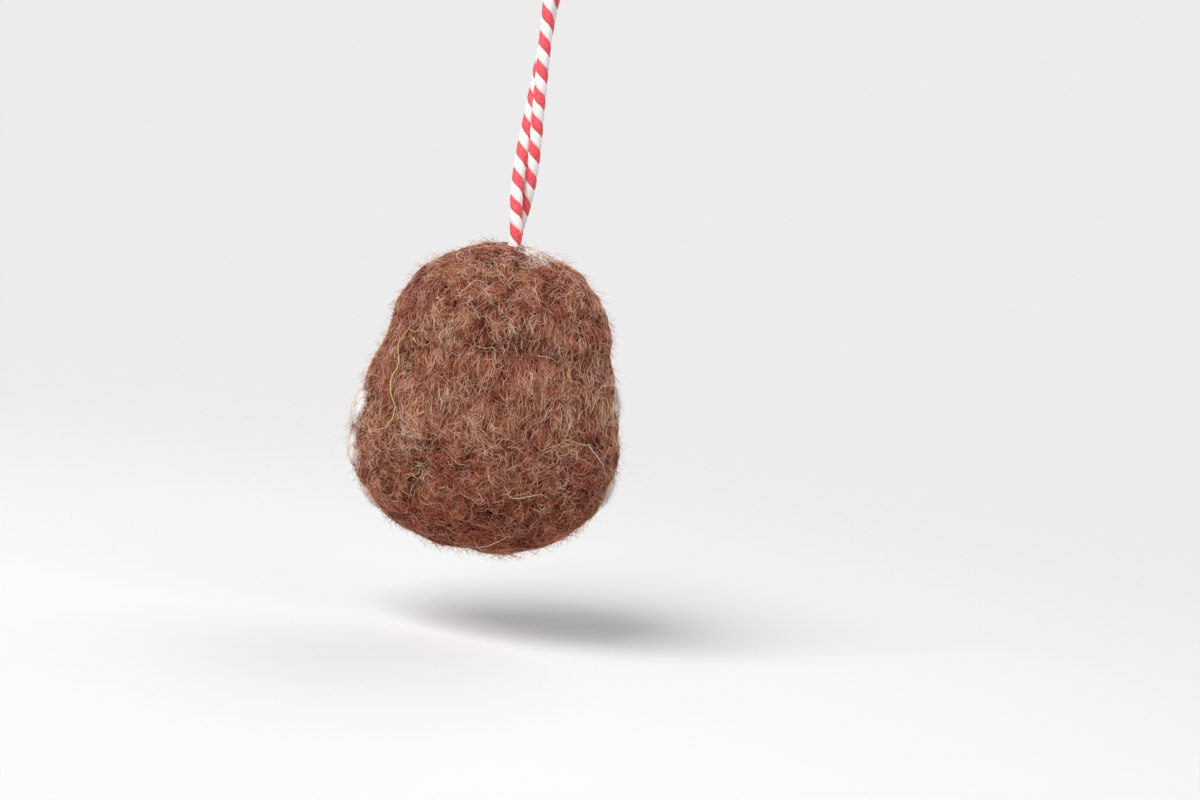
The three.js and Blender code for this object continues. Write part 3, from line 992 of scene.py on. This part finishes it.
def fibre_piece(name, ground, material, slot, **sizes):
    """Fibres laid on a ground by the tree's sizes in millimetres, as a plain mesh on the wool."""
    holder = new_piece(name + "_ground", ground.copy())
    modifier = holder.modifiers.new("fibres", "NODES")
    modifier.node_group = FIBRES
    given = {key: size * FIBRE_UNITS.get(key, 1) for key, size in sizes.items()}
    given["material"] = material
    for socket in FIBRES.interface.items_tree:
        key = socket.name.lower().replace(" ", "_")
        if key in given:
            modifier[socket.identifier] = given[key]
    bpy.context.view_layer.update()
    evaluated = holder.evaluated_get(bpy.context.evaluated_depsgraph_get())
    mesh = bpy.data.meshes.new_from_object(evaluated)
    bpy.data.objects.remove(holder)
    mesh.name = name
    mesh.materials.clear()
    piece = new_piece(name, mesh, material)
    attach(piece, "ornament")


# Brown wool over the tufts: a thin veil, a little more on the top one, and most within reach of a rim
TUFT_VEIL = 0.015
TOP_TUFT_VEIL = 0.02
TOP_TUFT_REACH = 4
RIM_REACH = 0.5


def tuft_rim():
    """How much brown wool crosses the tufts at each of their vertices."""
    felt = felt_tree(coat)
    top = tuft_middle(TOP_TUFT)
    rim = np.zeros(len(tufts.data.vertices))
    for i, vert in enumerate(tufts.data.vertices):
        spot, normal, _, _ = felt.find_nearest(vert.co)
        rise = (vert.co - spot).dot(normal) / MM
        veil = TOP_TUFT_VEIL if (vert.co - top).length < TOP_TUFT_REACH * MM else TUFT_VEIL
        rim[i] = veil + max(0.0, 1 - abs(rise) / RIM_REACH)
    return rim


def from_tufts(mesh):
    """How far each point lies from the nearest white tuft, in millimetres, and 0 under one."""
    tuft_tree = felt_tree(tufts)
    apart = np.zeros(len(mesh.vertices))
    for i, vert in enumerate(mesh.vertices):
        spot, normal, _, reach = tuft_tree.find_nearest(vert.co)
        apart[i] = reach / MM if (vert.co - spot).dot(normal) > 0 else 0.0
    return apart


# By height: combed down the upper part, curled every way below it and laid round the bottom
COAT_LAY = ([-24, -18, -15], [math.pi / 2, math.pi / 2, 0])
COAT_SPREAD = ([-24, -18, -15, -8, -2, 8, 13, 20, 24], [0.7, 0.8, 3.1, 3.1, 0.9, 0.8, 1.6, 2.6, 3.1])
COAT_CURL = ([-24, -15, -8, -2, 16, 24], [0.8, 1.3, 1.2, 0.6, 0.6, 1])
FUZZ_SPREAD = 3.1
FUZZ_CURL = 1.3
# Fewer fibres in a needle mark, with painted shade on them there, fewer close to a tuft, and white ones
# just round it
MARK_BARE = 0.8
MARK_PAINTED_SHADE = 0.5
ROOM_AT_TUFT = 0.6
ROOM_REACH = 0.6
EDGE_REACH = 0.55
# The upper fibres come in locks with gaps between them: size, height and seed of the noise, and shares
UPPER_LOCKS = (1.6, 1.0, 21)
UPPER_ROOM = 0.85
UPPER_SWING = 0.9
UPPER_LIMITS = (0.2, 1.6)
# Painted shade on the fleece low on the right: how much, by height and by place across
LOW_RIGHT_PAINTED_SHADE = 0.16
PAINTED_SHADE_BY_HEIGHT = ([-12, -2], [1, 0])
PAINTED_SHADE_ACROSS = ([-8, -2], [0, 1])
# A patch of olive fleece low on the left of the plain side: across, up and reach
OLIVE_PATCH = (-10, -11, 3.5)
OLIVE_MARK_BARE = 0.9

coat_points = (points_of(coat.data) - np.array(BODY_MIDDLE)) / MM
heights = coat_points[:, 2]
coat_lay = np.interp(heights, *COAT_LAY)
coat_spread = np.interp(heights, *COAT_SPREAD)
coat_curl = np.interp(heights, *COAT_CURL)
tuft_apart = from_tufts(coat.data)
tuft_room = np.where(tuft_apart > 0, np.clip(ROOM_AT_TUFT + tuft_apart / ROOM_REACH, 0, 1), 0)
coat_room = tuft_room * (1 - MARK_BARE * needle_pits)
edge_room = np.where(tuft_apart > 0, np.exp(-(tuft_apart / EDGE_REACH) ** 2), 0)
locks = lumps(coat_points, *UPPER_LOCKS)
upper_room = coat_room * np.clip(UPPER_ROOM + UPPER_SWING * locks, *UPPER_LIMITS)
low_right_painted_shade = LOW_RIGHT_PAINTED_SHADE * np.interp(heights, *PAINTED_SHADE_BY_HEIGHT) * np.interp(coat_points[:, 0], *PAINTED_SHADE_ACROSS)
# Painted shade on the fibres: in the needle marks and low on the right
coat_painted_shade = MARK_PAINTED_SHADE * needle_pits + low_right_painted_shade
patch_apart = np.hypot(coat_points[:, 0] - OLIVE_PATCH[0], heights - OLIVE_PATCH[1]) / OLIVE_PATCH[2]
patch_spot = np.where(coat_points[:, 1] < 0, np.exp(-patch_apart ** 2), 0)
patch_room = patch_spot * (1 - OLIVE_MARK_BARE * needle_pits)

coat_ground = fibre_ground(coat, coat_room, coat_lay, coat_spread, coat_curl, seed=30, painted_shade=coat_painted_shade)
fuzz_ground = fibre_ground(coat, coat_room, coat_lay, FUZZ_SPREAD, FUZZ_CURL * coat_curl, seed=32,
                           painted_shade=low_right_painted_shade)
upper_ground = fibre_ground(coat, upper_room, coat_lay, coat_spread, coat_curl, seed=34, painted_shade=coat_painted_shade)
patch_ground = fibre_ground(coat, patch_room, coat_lay, coat_spread, coat_curl, seed=38)
tuft_ground = fibre_ground(tufts, room=1, lay=0, spread=math.pi, curl=1, seed=42)
edge_ground = fibre_ground(coat, edge_room, coat_lay, math.pi, coat_curl, seed=44)
rim_ground = fibre_ground(tufts, tuft_rim(), lay=0, spread=math.pi, curl=1, seed=46)

# Wool is 0.03 mm thick, too fine to draw singly, so each drawn fibre stands for a few of it
fibre_piece("felt_fibres_deep", coat_ground, dark_fibre, "brown_wool", seed=1, density=0.95, points=8,
            shortest=3, longest=6, thickness=0.13, curl=6.0, curl_size=1.8, lift=0.2)
for layer in range(3):
    fibre_piece(f"felt_fibres_brown_{layer + 1}", coat_ground, middle_fibre, "brown_wool",
                seed=20 + layer, density=1.3, points=6, shortest=2, longest=5, thickness=0.09,
                curl=5.0, curl_size=1.8, lift=0.35)
for layer in range(2):
    fibre_piece(f"felt_fibres_light_{layer + 1}", upper_ground, light_fibre, "brown_wool",
                seed=40 + layer, density=1.3, points=6, shortest=1.5, longest=4.5, thickness=0.065,
                curl=5.5, curl_size=1.8, lift=0.5)
fibre_piece("felt_fibres_halo", fuzz_ground, halo_fibre, "brown_wool", seed=60, density=1.35, points=6,
            shortest=1.5, longest=4.5, thickness=0.055, curl=6.5, curl_size=1.6, lift=2.0, free_end=1.0)
fibre_piece("kemp_hairs", coat_ground, kemp_fibre, "brown_wool", seed=80, density=0.045, points=16,
            shortest=3, longest=10, thickness=0.075, curl=6.0, curl_size=3.5, lift=0.6)
fibre_piece("olive_fibres", patch_ground, olive_fibre, "brown_wool", seed=85, density=1.6, points=8,
            shortest=2, longest=4.5, thickness=0.1, curl=8.0, curl_size=1.4, lift=0.4)
fibre_piece("white_tuft_fibres", tuft_ground, white_fibre, "white_wool", seed=90, density=2.4, points=6,
            shortest=1.5, longest=4, thickness=0.08, curl=5.0, curl_size=1.6, lift=0.25)
fibre_piece("white_tuft_fuzz", tuft_ground, white_fibre, "white_wool", seed=92, density=2.2, points=6,
            shortest=1, longest=2.8, thickness=0.05, curl=6.0, curl_size=1.4, lift=1.0, free_end=1.0)
fibre_piece("white_tuft_edges", edge_ground, white_fibre, "white_wool", seed=93, density=7, points=6,
            shortest=1, longest=3.2, thickness=0.065, curl=5.0, curl_size=1.6, lift=0.6)
fibre_piece("brown_fibres_on_tufts", rim_ground, middle_fibre, "brown_wool", seed=95, density=5, points=6,
            shortest=1.2, longest=2.8, thickness=0.065, curl=5.0, curl_size=1.6, lift=0.3)


# Single hairs that lie on the plain side: across and up from the body's middle

HAIR_LIFT = 1.2
HAIR_STEP = 0.4
# Share of the lift at a hair's ends and what the middle adds, and how its ends taper
HAIR_LOW = 0.2
HAIR_RISE = 0.8
HAIR_TIP = 0.3
HAIR_TAPER = 0.4
# The shade of the first hair and the step to the next one
HAIR_SHADE = 0.6
HAIR_SHADE_STEP = 0.37
STRAW_HAIRS = [
    [(-10.5, 9.2), (-11.3, 9.6), (-13.6, 8.9), (-14.4, 7.8), (-14.5, 5.5), (-14, 3.3), (-14.5, 1.1),
     (-14.2, -0.6), (-13.4, -2.1), (-13.7, -4.3), (-14.9, -5.9), (-17.6, -7.4)],
    [(-12.9, 7.7), (-12.3, 7.8), (-11.8, 7.3)],
]
OLIVE_HAIRS = [
    [(-11.7, -13.7), (-10.6, -15.1), (-8.8, -14.9), (-7.3, -13.3)],
    [(-1.8, -2), (-1.3, -3), (1, -5.6)],
]
PALE_HAIRS = [
    [(5.5, 8.8), (8.1, 8.6), (9.8, 7.4)],
    [(12.2, -3.5), (15.6, -4.5), (18.2, -7), (19.4, -9.2)],
    [(1.5, -8.7), (2.4, -10.8), (3.6, -12.1)],
    [(4.2, -11.4), (5.7, -13), (8.2, -12.3), (9.9, -12.1), (11.4, -12.7)],
    [(-5.4, -7.3), (-3.6, -8.6), (-2.1, -9.1), (-1, -9.1)],
    [(-3.7, 10.1), (-2.9, 9.1), (-1.2, 8.7), (-0.2, 10)],
    [(-7.8, 11), (-7.3, 9.9), (-7, 9.3)],
    [(0.7, -20.3), (1.7, -21.4), (3.1, -22.6)],
    [(0.2, -22.4), (2.9, -21), (6, -19.6)],
]


def single_hairs(name, routes, material, thickness):
    """Hairs along routes on the plain side, dropped on to the felt and lifted off it in the middle."""
    felt = felt_tree(coat)
    points, faces, tones = [], [], []
    for order, route in enumerate(routes):
        flat = smooth_path([(x, 0, z) for x, z in route], HAIR_STEP)
        arch = np.sin(math.pi * np.linspace(0, 1, len(flat)))
        path = []
        for (x, _, z), rise in zip(flat, arch):
            above = BODY_MIDDLE + Vector((x, -2 * LOWER_DEPTH, z)) * MM
            spot, normal, _, _ = felt.ray_cast(above, Vector((0, 1, 0)))
            path.append(spot + normal * HAIR_LIFT * (HAIR_LOW + HAIR_RISE * rise) * MM)
        path = np.array([tuple(p) for p in path]) / MM
        more, sides = hair_tube(path, thickness / 2 * np.maximum(arch, HAIR_TIP) ** HAIR_TAPER)
        faces.extend(tuple(i + len(points) for i in face) for face in sides)
        points.extend(more)
        tones.extend([(HAIR_SHADE + HAIR_SHADE_STEP * order) % 1] * len(more))
    mesh = mesh_from(name, np.array(points) * MM, faces)
    keep_values(mesh, "fibre_shade", tones)
    piece = new_piece(name, mesh, material)
    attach(piece, "ornament")


single_hairs("straw_hair", STRAW_HAIRS, straw_fibre, thickness=0.18)
single_hairs("olive_hairs", OLIVE_HAIRS, olive_fibre, thickness=0.14)
single_hairs("pale_hairs", PALE_HAIRS, kemp_fibre, thickness=0.085)


# Floor, light and background

FLOOR_DROP = 14
# In metres: the floor's radius, and from where to where it fades
FLOOR_RADIUS = 0.5
FLOOR_FADE = (0.05, 0.3)
FLOOR_SIDES = 64
FLOOR_COLOUR = "e6e6e6"
BACKDROP_COLOUR = "ececec"
ROOM_LIGHT = 0.28


def pale_floor():
    """A round floor under the ornament that fades into the background at its rim."""
    rim = [(FLOOR_RADIUS * math.cos(a), FLOOR_RADIUS * math.sin(a), coat_low.z - FLOOR_DROP * MM)
           for a in np.linspace(0, 2 * math.pi, FLOOR_SIDES, endpoint=False)]
    mesh = mesh_from("floor", rim, [tuple(range(FLOOR_SIDES))])
    material, tree, shader, place = new_material("pale_floor")
    wire(tree, shader, {"Base Color": linear(FLOOR_COLOUR), "Roughness": 0.9, "Specular IOR Level": 0.0})
    flat = add_node(tree, "ShaderNodeVectorMath", {0: place, 1: (1, 1, 0)}, operation="MULTIPLY")
    reach = add_node(tree, "ShaderNodeVectorMath", {0: flat}, operation="LENGTH").outputs["Value"]
    fade = add_node(tree, "ShaderNodeMapRange", {0: reach, 1: FLOOR_FADE[0], 2: FLOOR_FADE[1]},
                    interpolation_type="SMOOTHSTEP")
    clear = add_node(tree, "ShaderNodeBsdfTransparent")
    mix = add_node(tree, "ShaderNodeMixShader", {0: fade, 1: shader, 2: clear})
    wire(tree, tree.nodes["Material Output"], {"Surface": mix})
    floor = new_piece("floor", mesh, material)


def soft_light(name, place, size, power):
    """A large square lamp that faces the wool."""
    data = bpy.data.lights.new(name, "AREA")
    data.shape = "SQUARE"
    data.size = size
    data.energy = power
    lamp = bpy.data.objects.new(name, data)
    bpy.context.scene.collection.objects.link(lamp)
    lamp.location = BODY_MIDDLE + Vector(place)
    lamp.rotation_euler = Vector(place).to_track_quat("Z", "Y").to_euler()


def pale_world():
    """A dim white room behind a pale backdrop that the camera sees, directly or mirrored."""
    world = bpy.data.worlds.new("pale_room")
    bpy.context.scene.world = world
    world.use_nodes = True
    tree = world.node_tree
    rays = add_node(tree, "ShaderNodeLightPath").outputs
    seen = rays["Is Camera Ray"]
    for mirrored in ("Is Glossy Ray", "Is Transmission Ray"):
        seen = add_node(tree, "ShaderNodeMath", {0: seen, 1: rays[mirrored]}, operation="MAXIMUM")
    room = wire(tree, tree.nodes["Background"], {"Color": (1, 1, 1, 1), "Strength": ROOM_LIGHT})
    backdrop = add_node(tree, "ShaderNodeBackground", {"Color": linear(BACKDROP_COLOUR), "Strength": 1.0})
    mix = add_node(tree, "ShaderNodeMixShader", {0: seen, 1: room, 2: backdrop})
    wire(tree, tree.nodes["World Output"], {"Surface": mix})


pale_floor()
soft_light("key", (-0.58, -0.82, 1.00), size=0.8, power=21.4)
soft_light("fill", (0.95, -0.60, 0.40), size=1.0, power=3.4)
soft_light("back", (0.5, 0.9, 0.7), size=1.0, power=6)
pale_world()
bpy.context.scene.view_settings.view_transform = "Standard"
